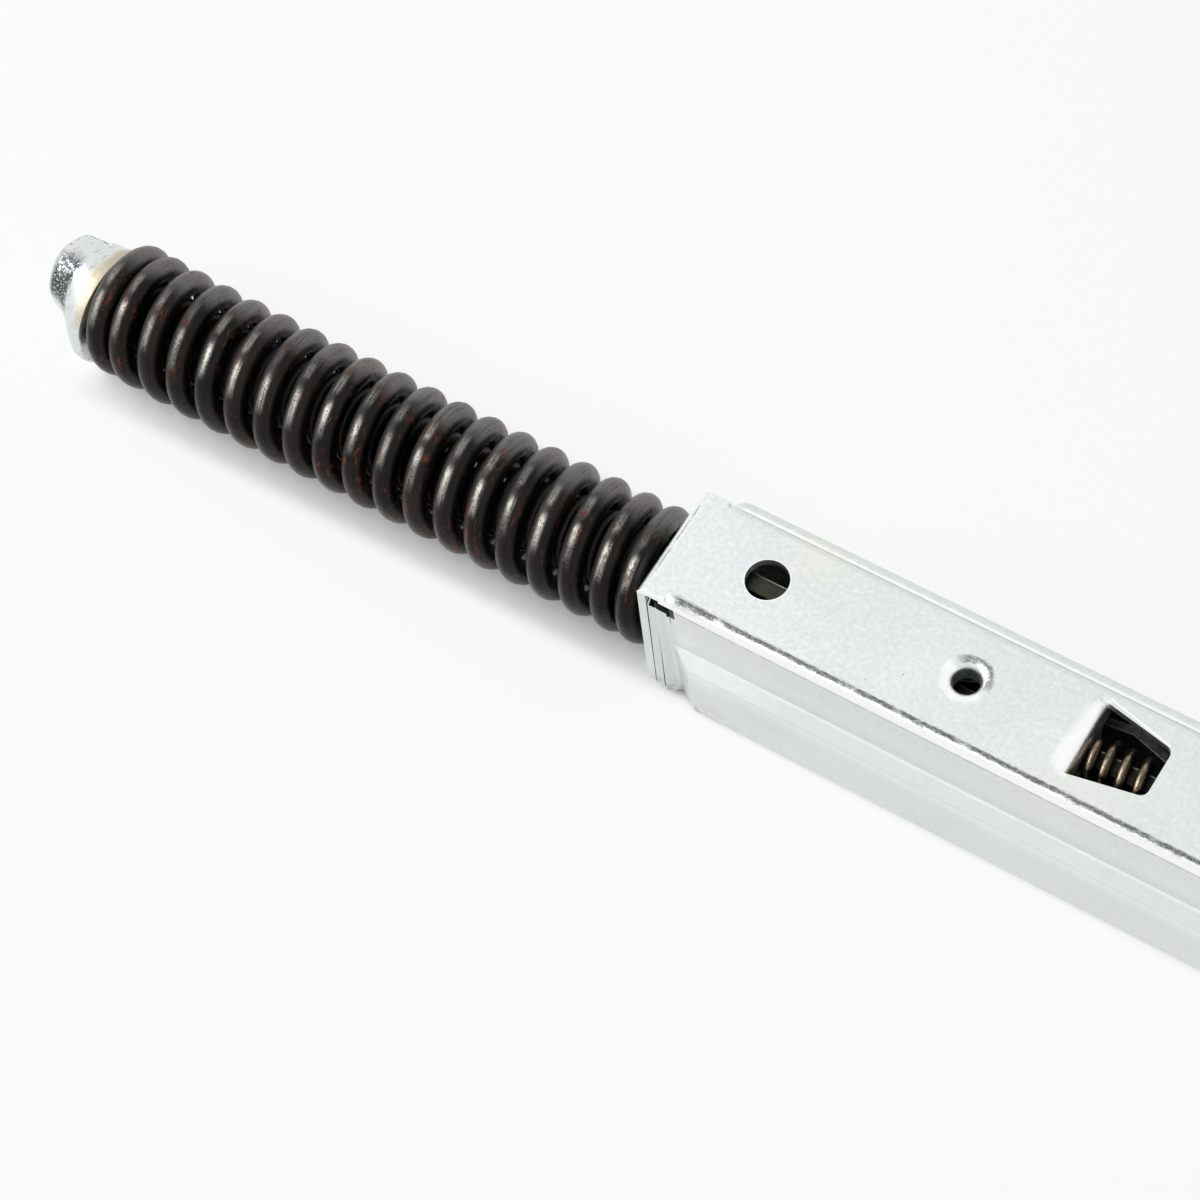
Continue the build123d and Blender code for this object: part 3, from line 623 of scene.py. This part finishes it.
# A darker, duller copy of the oiled wire for the spring inside: painted shade
shadedInnerWire = {**oiledWire, "light": (0.02, 0.017, 0.015), "rustShare": 0.0, "dustAndSheenShare": 0.0, "rubbedHighlightShare": 0.1,
             "metal": 0.3, "roughness": 0.45, "half": 0.0012}
bronzedWire = {
    **wireMarks,
    "dark": (0.04, 0.03, 0.02),
    "light": (0.2, 0.155, 0.1),
    "dustAndSheen": (0.4, 0.34, 0.25),
    "rubbedHighlight": (0.42, 0.36, 0.26),
    "rust": (0.2, 0.12, 0.07),
    "rustShare": 0.3,
    "dustAndSheenShare": 0.0,
    "rubbedHighlightShare": 0.6,
    "upperHighlight": (-0.02, -0.01, 0.01, 0.02),
    "lowerHighlight": (-0.02, -0.01, 0.01, 0.02),
    "metal": 1.0,
    "roughness": 0.28,
    "pits": 0.4,
    "half": 0.00087,
}


def wireFinish(name, look):
    finish = Finish(name, {"Metallic": look["metal"]})
    along = finish.add("ShaderNodeAttribute", {"attribute_name": "alongWire"}, out="Vector")
    outward, sideways = finish.apart(along)[1:]
    y, z = finish.apart(finish.place)[1:]
    crest, side = outward / look["half"], sideways / look["half"]
    drawn = finish.grain(*look["drawnGrain"], vector=finish.stretch(along, look["drawnStretch"]))
    patch = finish.grain(*look["patchGrain"], vector=finish.stretch(along, look["patchStretch"]))
    fine = finish.grain(*look["fineGrain"])
    # A dark oil tone in random patches, lighter on one flank as a painted sheen
    oilToneAndSheen = (finish.ramp(side, *look["sheenSide"]) + (patch - 0.5) * 1.3 + (drawn - 0.5) * 0.9).held()
    # Dusty grey on the tops, partly a painted sheen on the tops and on one flank
    grey = finish.ramp(y + (patch - 0.5) * look["greyWander"], *look["greyY"])
    grey = (grey * finish.ramp(crest, *look["greyCrest"])).most(finish.ramp(side, *look["greySide"]))
    grey = grey * finish.ramp(drawn * 0.6 + fine * 0.4, *look["greyDrawn"])
    # Painted highlight streaks where the lamp's highlight falls, looking like metal polished by rubbing
    place = y + (patch - 0.5) * look["highlightWander"]
    rubbedHighlightMask = (finish.band(place, *look["upperHighlight"]) * 0.7).most(finish.band(place, *look["lowerHighlight"]))
    rubbedHighlightMask = rubbedHighlightMask * finish.ramp(z, *look["highlightZ"]) * finish.ramp(crest, *look["highlightCrest"])
    rubbedHighlightMask = rubbedHighlightMask * finish.fade((side + 0.1).size() + (drawn - 0.5) * 0.3, *look["highlightSide"])
    rubbedHighlightMask = rubbedHighlightMask * finish.ramp(drawn * 0.5 + fine * 0.5, *look["highlightDrawn"])
    rubbedHighlightMask = rubbedHighlightMask * finish.ramp(finish.grain(*look["highlightGrain"]), *look["highlightPatch"])
    flecks = finish.grain(*look["fleckGrain"], vector=finish.stretch(along, look["fleckStretch"]))
    flecks = finish.ramp(flecks, *look["fleck"]) * look["rustShare"]
    flecks = flecks * finish.ramp(finish.grain(*look["fleckPatchGrain"]), *look["fleckPatch"])
    colour = finish.paint(finish.mix(oilToneAndSheen, look["dark"], look["light"]),
                          (grey * look["dustAndSheenShare"], look["dustAndSheen"]),
                          (rubbedHighlightMask * look["rubbedHighlightShare"], look["rubbedHighlight"]), (flecks, look["rust"]))
    pitted = finish.ramp(finish.grain(*look["pitGrain"]), *look["pit"]) * look["pits"]
    rough = finish.ramp(patch, 0.3, 0.7) * 0.12 + drawn * 0.12 + flecks * 0.25 + grey * 0.08
    relief = drawn * 0.5 + fine * (pitted * 1.8 + 0.25) + flecks * 0.5
    return finish.dress(Base_Color=colour, Roughness=rough + (look["roughness"] - 0.13),
                        Normal=finish.bump(relief, *look["wireBump"]))


# Other steel

plainSteel = {
    "fineGrain": (1400, 4, 0.65),
    "fineStretch": (1, 1, 1),
    "fineBump": (0.3, 0.00005),
    "patchGrain": (140, 3, 0.6, 0.3),
    "tone": (0.38, 0.62),
    "metal": 1.0,
}
# The bar is painted nearly black as shade inside the channel, with a painted highlight along its upper edge
barSteel = {
    **plainSteel,
    "light": (0.045, 0.047, 0.034),
    "dark": (0.014, 0.0145, 0.0105),
    "roughness": 0.36,
    "fineStretch": (0.06, 1, 1),
    "metal": 0.8,
    "edge": (0.5, 0.49, 0.42),
    "edgeHighlightY": (0.0012, 0.0014, 0.00144, 0.00149),
    "edgeHighlightShare": 0.8,
}
rivetSteel = {**plainSteel, "light": (0.62, 0.63, 0.62), "dark": (0.42, 0.43, 0.43), "roughness": 0.3}
groundSteel = {**plainSteel, "light": (0.5, 0.5, 0.51), "dark": (0.34, 0.34, 0.35), "roughness": 0.2}
bushBronze = {**plainSteel, "light": (0.55, 0.38, 0.19), "dark": (0.33, 0.22, 0.11), "roughness": 0.4}


def steelFinish(name, look):
    finish = Finish(name, {"Metallic": look["metal"]})
    fine = finish.grain(*look["fineGrain"], vector=finish.stretch(finish.place, look["fineStretch"]))
    patch = finish.grain(*look["patchGrain"])
    colour = finish.mix(finish.ramp(fine * 0.5 + patch * 0.5, *look["tone"]), look["dark"], look["light"])
    if "edge" in look:
        edge = finish.band(finish.apart(finish.place)[1], *look["edgeHighlightY"])
        colour = finish.mix(edge * look["edgeHighlightShare"], colour, look["edge"])
    return finish.dress(Base_Color=colour, Roughness=fine * 0.2 + patch * 0.12 + (look["roughness"] - 0.16),
                        Normal=finish.bump(fine, *look["fineBump"]))


finishes = {
    "zinc_sheet": zincFinish("zincSheet", zincSheet),
    "lever_steel": zincFinish("leverZinc", leverSheet),
    "bright_zinc": zincFinish("brightZinc", brightSheet),
    "oiled_spring_wire": wireFinish("oiledWire", oiledWire),
    "bronzed_spring_wire": wireFinish("bronzedWire", bronzedWire),
    "bar_steel": steelFinish("barSteel", barSteel),
    "rivet_steel": steelFinish("rivetSteel", rivetSteel),
    "hardened_steel": steelFinish("groundSteel", groundSteel),
    "bush_bronze": steelFinish("bushBronze", bushBronze),
}
ownFinishes = {
    "channel": channelFinish("channelZinc", zincSheet, channelMarks),
    "spring_seat": seatFinish("seatZinc", seatSheet, seatMarks),
    "inner_spring": wireFinish("shadedInnerWire", shadedInnerWire),
    "strap_near": zincFinish("shadedStrapZinc", shadedStrapSheet),
}
ownFinishes["strap_far"] = ownFinishes["strap_near"]
print("finishes ready")


# Making pieces

def newObject(name, data):
    item = bpy.data.objects.new(name, data)
    bpy.context.scene.collection.objects.link(item)
    return item


def newPiece(bm, name):
    mesh = bpy.data.meshes.new(name)
    bm.to_mesh(mesh)
    bm.free()
    return newObject(name, mesh)


def settle(bm, name, body, slot, smoothAngle=35, finish=None):
    piece = newPiece(bm, name)
    piece.data.materials.append(finish or finishes[slot])
    for face in piece.data.polygons:
        face.use_smooth = True
    piece.data.set_sharp_from_angle(angle=math.radians(smoothAngle))
    if body:
        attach(piece, body)
    return piece


# The springs: a ring of wire that is turned about the coil's axis, a few steps at a time

mainCoil = {
    "wire": 0.0041,
    "radius": 0.0093,
    "turns": 19.0,
    "start": -0.1281,
    "end": -0.01935,
    "depth": -0.0176,
    "phase": 340.0,
    "endPitch": 0.0043,
    "lift": 0.0005,
    "lean": 0.05,
    "leanReach": 0.013,
    "sway": ((-0.128, 0.0003), (-0.123, 0), (-0.11, -0.00035), (-0.09, -0.0004), (-0.045, -0.00025),
             (-0.02, 0)),
    "ring": 20,
    "perTurn": 40,
    "tipRound": 0.06,
    "smoothAngle": 50,
}
innerCoil = {
    **mainCoil,
    "wire": 0.0024,
    "radius": 0.0053,
    "turns": 39.0,
    "start": -0.129,
    "end": -0.0185,
    "phase": 20.0,
    "endPitch": 0.00265,
    "lift": 0.0003,
    "lean": 0.0,
    "sway": ((0, 0), (1, 0)),
    "ring": 12,
    "perTurn": 24,
}
smallCoil = {
    **mainCoil,
    "wire": 0.00175,
    "radius": 0.00365,
    "turns": 10.5,
    "start": 0.0558,
    "end": 0.0842,
    "depth": -0.007,
    "phase": 60.0,
    "endPitch": 0.0023,
    "lift": 0.0,
    "lean": 0.0,
    "sway": ((0, 0), (1, 0)),
    "ring": 14,
    "perTurn": 36,
}


def coilPitches(coil):
    quarters = round(coil["turns"] * 4)
    openness = [min(1, max(0, min(i, quarters - i) / 4 - 0.75)) for i in range(quarters + 1)]
    share = sum((a + b) / 8 for a, b in zip(openness, openness[1:]))
    spare = coil["end"] - coil["start"] - coil["endPitch"] * coil["turns"]
    pitches = [coil["endPitch"] + k * spare / share for k in openness]
    return [(a + b) / 2 for a, b in zip(pitches, pitches[1:])]


def wireRuns(pitches):
    runs = []
    for pitch in pitches:
        if runs and math.isclose(runs[-1][0], pitch, rel_tol=0, abs_tol=1e-9):
            runs[-1][1] += 1
        else:
            runs.append([pitch, 1])
    return runs


def windWire(name, coil, slot, finish=None):
    bm = bmesh.new()
    radius, turn = coil["radius"], math.radians(coil["phase"])
    pitches = coilPitches(coil)
    around = 2 * math.pi * radius
    tangent = Vector((pitches[0], -around * math.sin(turn), around * math.cos(turn)))
    facing = tangent.to_track_quat("Z", "X").to_matrix().to_4x4()
    centre = Vector((coil["start"], radius * math.cos(turn), coil["depth"] + radius * math.sin(turn)))
    bmesh.ops.create_circle(bm, segments=coil["ring"], radius=coil["wire"] / 2,
                            matrix=Matrix.Translation(centre) @ facing)
    ends = [list(bm.edges)]
    tip = list(bm.edges)
    perQuarter = coil["perTurn"] // 4
    for pitch, quarters in wireRuns(pitches):
        made = bmesh.ops.spin(bm, geom=tip, cent=(0, 0, coil["depth"]), axis=(1, 0, 0),
                              dvec=(pitch / coil["perTurn"], 0, 0), angle=math.pi / 2 * quarters,
                              steps=perQuarter * quarters)
        tip = [item for item in made["geom_last"] if isinstance(item, bmesh.types.BMEdge)]
    ends.append(tip)
    markWire(bm, coil, pitches)
    for loop in ends:
        bmesh.ops.edgeloop_fill(bm, edges=loop)
    rims = [edge for loop in ends for edge in loop]
    bmesh.ops.bevel(bm, geom=rims, offset=coil["wire"] * coil["tipRound"], segments=2, profile=0.5,
                    affect="EDGES", material=-1)
    bmesh.ops.recalc_face_normals(bm, faces=bm.faces)
    for vert in bm.verts:
        left = (coil["end"] - vert.co.x) / (coil["end"] - coil["start"])
        near = max(0, 1 - (vert.co.x - coil["start"]) / coil["leanReach"])
        vert.co.z += coil["lift"] * min(1, max(0, left))
        vert.co.x += coil["lean"] * vert.co.y * min(1, near)
        vert.co.y += np.interp(vert.co.x, *zip(*coil["sway"]))
    return settle(bm, name, None, slot, coil["smoothAngle"], finish)


def markWire(bm, coil, pitches):
    # where each point lies along the wire, outwards from its middle and sideways from it
    layer = bm.verts.layers.float_vector.new("alongWire")
    turnMarks = [i / 4 for i in range(len(pitches) + 1)]
    places = [coil["start"]]
    for pitch in pitches:
        places.append(places[-1] + pitch / 4)
    for vert in bm.verts:
        y, z = vert.co.y, vert.co.z - coil["depth"]
        part = (math.atan2(z, y) - math.radians(coil["phase"])) / (2 * math.pi) % 1
        near = np.interp(vert.co.x, places, turnMarks)
        turns = part + round(near - part)
        middle = np.interp(turns, turnMarks, places)
        vert[layer] = (turns * 2 * math.pi * coil["radius"], math.hypot(y, z) - coil["radius"],
                       vert.co.x - middle)


mainSpring = windWire("mainSpringWire", mainCoil, "oiled_spring_wire")
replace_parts(mainSpring, "main_spring")
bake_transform(mainSpring)
innerSpring = windWire("innerSpringWire", innerCoil, "oiled_spring_wire", ownFinishes["inner_spring"])
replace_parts(innerSpring, "inner_spring")
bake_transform(innerSpring)
smallSpring = windWire("smallSpringWire", smallCoil, "bronzed_spring_wire")
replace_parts(smallSpring, "helper_spring")
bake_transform(smallSpring)
print("springs wound")


# The spring's seat: a flange that runs up in a hollow curve to a leaning boss with a flat on its top

seatShape = {
    "sides": 72,
    "depth": -0.0176,
    "rings": (  # place along x, radius, middle aside and up
        (-0.1303, 0.0097, 0.0, -0.0015),
        (-0.1306, 0.01015, 0.0, -0.0015),
        (-0.1313, 0.01025, 0.0, -0.0015),
        (-0.1322, 0.0101, 0.0, -0.0015),
        (-0.1331, 0.0097, 0.0002, -0.0012),
        (-0.1339, 0.0092, 0.0004, -0.0008),
        (-0.1347, 0.0087, 0.0008, -0.0003),
        (-0.1357, 0.00788, 0.0011, 0.0003),
        (-0.1370, 0.00723, 0.00134, 0.00078),
        (-0.1385, 0.00678, 0.00152, 0.00107),
        (-0.1394, 0.0066, 0.00164, 0.00124),
        (-0.1401, 0.0063, 0.00175, 0.0014),
        (-0.1405, 0.0058, 0.0019, 0.0016),
        (-0.1408, 0.0049, 0.0021, 0.0018),
    ),
    "frontTilt": 3.4,
    "frontReach": 0.0025,
    "pocketRadius": 0.0048,
    "pocketDepth": 0.0057,
    "flatPoint": (-0.1340, 0.0041, -0.0098),
    "flatNormal": (-0.22, 0.47, 0.855),
    "flatRound": 0.0006,
    "roundedFrom": -0.1399,  # the flat's edge stays sharp beyond this, where the end cap is near
    "weld": 0.00001,
    "smoothAngle": 40,
}


def shapeSeat(shape):
    bm = bmesh.new()
    rings = shape["rings"]
    edgeX, edgeRadius, aside, edgeRise = rings[0]
    radius, centre = edgeRadius, Vector((edgeX, aside, shape["depth"] + edgeRise))
    bmesh.ops.create_circle(bm, cap_ends=True, segments=shape["sides"], radius=radius,
                            matrix=Matrix.Translation(centre) @ Matrix.Rotation(math.pi / 2, 4, "Y"))
    front, rim = bm.faces[:][0], bm.edges[:]
    for x, nextRadius, aside, rise in rings[1:]:
        made = bmesh.ops.extrude_edge_only(bm, edges=rim)["geom"]
        rim = [item for item in made if isinstance(item, bmesh.types.BMEdge)
               and all(vert in made for vert in item.verts)]
        ring = [item for item in made if isinstance(item, bmesh.types.BMVert)]
        bmesh.ops.scale(bm, vec=(1, nextRadius / radius, nextRadius / radius), verts=ring,
                        space=Matrix.Translation(-centre))
        place = Vector((x, aside, shape["depth"] + rise))
        bmesh.ops.translate(bm, verts=ring, vec=place - centre)
        centre, radius = place, nextRadius
    bmesh.ops.edgeloop_fill(bm, edges=rim)
    flange = [vert for vert in bm.verts if vert.co.x > edgeX - shape["frontReach"]]
    bmesh.ops.rotate(bm, cent=(edgeX, 0, shape["depth"]), verts=flange,
                     matrix=Matrix.Rotation(math.radians(shape["frontTilt"]), 3, "Y"))
    bmesh.ops.inset_region(bm, faces=[front], thickness=edgeRadius - shape["pocketRadius"])
    bmesh.ops.translate(bm, verts=front.verts, vec=(0, 0, -edgeRise))
    pocket = bmesh.ops.extrude_discrete_faces(bm, faces=[front])["faces"][0]
    bmesh.ops.translate(bm, verts=pocket.verts, vec=(-shape["pocketDepth"], 0, 0))
    cut = bmesh.ops.bisect_plane(bm, geom=bm.verts[:] + bm.edges[:] + bm.faces[:], clear_outer=True,
                                 plane_co=shape["flatPoint"], plane_no=shape["flatNormal"])["geom_cut"]
    flat = [item for item in cut if isinstance(item, bmesh.types.BMEdge)]
    bmesh.ops.edgeloop_fill(bm, edges=flat)
    rounded = [edge for edge in flat if max(vert.co.x for vert in edge.verts) > shape["roundedFrom"]]
    bmesh.ops.bevel(bm, geom=rounded, offset=shape["flatRound"], segments=3, profile=0.5, affect="EDGES",
                    material=-1)
    bmesh.ops.dissolve_degenerate(bm, dist=shape["weld"], edges=bm.edges)
    bmesh.ops.recalc_face_normals(bm, faces=bm.faces)
    return settle(bm, "springSeatForm", "pull_bar", "bright_zinc", shape["smoothAngle"],
                  ownFinishes["spring_seat"])


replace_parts(shapeSeat(seatShape), "spring_seat")
print("seat shaped")


# Pieces that keep their CAD shape get softened edges

softEdges = {
    "channel": 0.00018,
    "pull_bar": 0.0002,
    "strap_near": 0.00015,
    "strap_far": 0.00015,
    "lever_plate_near": 0.0002,
    "cam_plate": 0.0002,
    "lever_plate_far": 0.0002,
    "latch": 0.00015,
}
softening = {
    "weld": 0.000005,
    "flatAngle": 1,
    "sharpAngle": 40,
}
bulgeSoftness = {
    "width": 0.0016,
    "segments": 7,
    "outerY": -0.0107,
    "top": -0.0125,
    "bottom": -0.0285,
    "endX": -0.0119,
    "angles": (12, 60),
}


def bevelEdges(bm, edges, width, segments):
    bmesh.ops.bevel(bm, geom=edges, offset=width, segments=segments, profile=0.5, affect="EDGES", material=-1,
                    clamp_overlap=True)


def roundBulge(bm, soft):
    low, high = [math.radians(angle) for angle in soft["angles"]]
    creases = []
    for edge in bm.edges:
        ends = [vert.co for vert in edge.verts]
        outside = all(end.y < soft["outerY"] and end.z < soft["top"] and end.x > soft["endX"] for end in ends)
        lower = all(end.z < soft["bottom"] for end in ends)
        if outside and not lower and len(edge.link_faces) == 2 and low < edge.calc_face_angle(0) < high:
            creases.append(edge)
    bevelEdges(bm, creases, soft["width"], soft["segments"])
    print("bulge edges rounded:", len(creases))


def softenNode(part, width):
    node = part["node"]
    bm = bmesh.new()
    bm.from_mesh(nodes[node].data)
    bmesh.ops.remove_doubles(bm, verts=bm.verts, dist=softening["weld"])
    bmesh.ops.dissolve_limit(bm, angle_limit=math.radians(softening["flatAngle"]), verts=bm.verts,
                             edges=bm.edges)
    if node == "channel":
        roundBulge(bm, bulgeSoftness)
    sharp = [edge for edge in bm.edges if len(edge.link_faces) == 2
             and edge.calc_face_angle(0) > math.radians(softening["sharpAngle"])]
    bevelEdges(bm, sharp, width, 2)
    piece = settle(bm, node + "Soft", nodes[node]["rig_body"], part["material_slot"],
                   finish=ownFinishes.get(node))
    weighted = piece.modifiers.new("evenShade", "WEIGHTED_NORMAL")
    weighted.keep_sharp = True
    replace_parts(piece, node)


for node, width in softEdges.items():
    softenNode(next(part for part in parts if part["node"] == node), width)


# The third layer's sharp bend into the near wall, over the solid's rounder one

layerBend = {
    "outline": ((-0.01372, -0.0103), (-0.01372, -0.01088), (-0.01355, -0.01098), (-0.0131, -0.01104),
                (-0.0112, -0.01104), (-0.0112, -0.0106)),
    "top": -0.0016,
    "bottom": -0.0281,
    "flareBefore": -0.013,
    "flare": 0.0013,
    "edge": 0.00012,
    "smoothAngle": 40,
}


def makeLayerBend(shape):
    bm = bmesh.new()
    corners = [bm.verts.new((x, y, shape["top"])) for x, y in shape["outline"]]
    bmesh.ops.contextual_create(bm, geom=corners)
    made = bmesh.ops.extrude_face_region(bm, geom=bm.faces[:])["geom"]
    lower = [item for item in made if isinstance(item, bmesh.types.BMVert)]
    bmesh.ops.translate(bm, verts=lower, vec=(0, 0, shape["bottom"] - shape["top"]))
    left = [vert for vert in lower if vert.co.x < shape["flareBefore"]]
    bmesh.ops.translate(bm, verts=left, vec=(0, -shape["flare"], 0))
    bmesh.ops.recalc_face_normals(bm, faces=bm.faces)
    bevelEdges(bm, bm.edges[:], shape["edge"], 2)
    settle(bm, "layerBendSkin", "channel", "zinc_sheet", shape["smoothAngle"], ownFinishes["channel"])


makeLayerBend(layerBend)
for part in parts:
    slots = nodes[part["node"]].data.materials
    slots.clear()
    slots.append(ownFinishes.get(part["node"], finishes[part["material_slot"]]))
print("plates softened")


# Floor, light and camera

studio = {
    "floorHeight": -0.0297,
    "floorSize": 3,
    "floorColour": (0.9, 0.9, 0.9, 1),
    "floorRoughness": 0.95,
    "floorShine": 0.1,
    "floorGlow": 0.86,
    "shadeCentre": (0.013, 0.0015),
    "shadeHalf": (0.153, 0.012),
    "shadeFade": 0.004,
    "skyDiffuse": 0.46,
    "skySeen": 0.97,
    "lampPlace": (-0.62, -0.28, 0.75),
    "lampSize": 0.75,
    "lampPower": 7.8,
}
view = {
    "place": (0.16038, -0.20172, 0.46013),
    "target": (-0.02052, -0.0153, 0.0),
    "roll": -13.33,
    "lens": 104.29,
    "sensor": 36,
    "nearest": 0.01,
}


def makeFloor():
    bm = bmesh.new()
    bmesh.ops.create_grid(bm, x_segments=1, y_segments=1, size=studio["floorSize"],
                          matrix=Matrix.Translation((0, 0, studio["floorHeight"])))
    floor = newPiece(bm, "floor")
    finish = Finish("floorPaper", {"Roughness": studio["floorRoughness"], "Base Color": studio["floorColour"],
                                   "Specular IOR Level": studio["floorShine"]})
    beyond = [((place - centre).size() - half).most(0) for place, centre, half
              in zip(finish.apart(finish.place), studio["shadeCentre"], studio["shadeHalf"])]
    clear = finish.ramp(beyond[0] + beyond[1], 0, studio["shadeFade"])  # dark right under the object
    glow = finish.add("ShaderNodeEmission", {}, {"Color": (1, 1, 1, 1), "Strength": studio["skySeen"]})
    paper = Amount(finish, finish.shader.outputs[0])
    share = finish.seenOrMirrored(studio["floorGlow"]) * clear
    mixed = finish.add("ShaderNodeMixShader", {}, [share, paper, glow])
    finish.feed(finish.tree.nodes["Material Output"].inputs["Surface"], mixed)
    floor.data.materials.append(finish.material)


def makeSky():
    world = bpy.data.worlds.new("studioSky")
    bpy.context.scene.world = world
    world.use_nodes = True
    sky = Shading(world.node_tree)
    background = sky.tree.nodes["Background"]
    sky.feed(background.inputs["Color"], (1, 1, 1, 1))
    sky.feed(background.inputs["Strength"],
             sky.add("ShaderNodeMapRange", {}, {"Value": sky.seenOrMirrored(), "To Min": studio["skyDiffuse"],
                                                "To Max": studio["skySeen"]}))


def aimAt(item, place, target, roll=0.0):
    item.location = place
    item.rotation_mode = "QUATERNION"
    facing = (Vector(target) - Vector(place)).to_track_quat("-Z", "Y")
    item.rotation_quaternion = facing @ Quaternion((0, 0, 1), math.radians(roll))


makeFloor()
makeSky()
lampData = bpy.data.lights.new("softbox", "AREA")
lampData.size = studio["lampSize"]
lampData.energy = studio["lampPower"]
aimAt(newObject("softbox", lampData), studio["lampPlace"], (0, 0, 0))

cameraData = bpy.data.cameras.new("camera")
cameraData.lens = view["lens"]
cameraData.sensor_width = view["sensor"]
cameraData.clip_start = view["nearest"]
camera = newObject("camera", cameraData)
aimAt(camera, view["place"], view["target"], view["roll"])
bpy.context.scene.camera = camera
bpy.context.scene.view_settings.view_transform = "Standard"
print("studio ready")
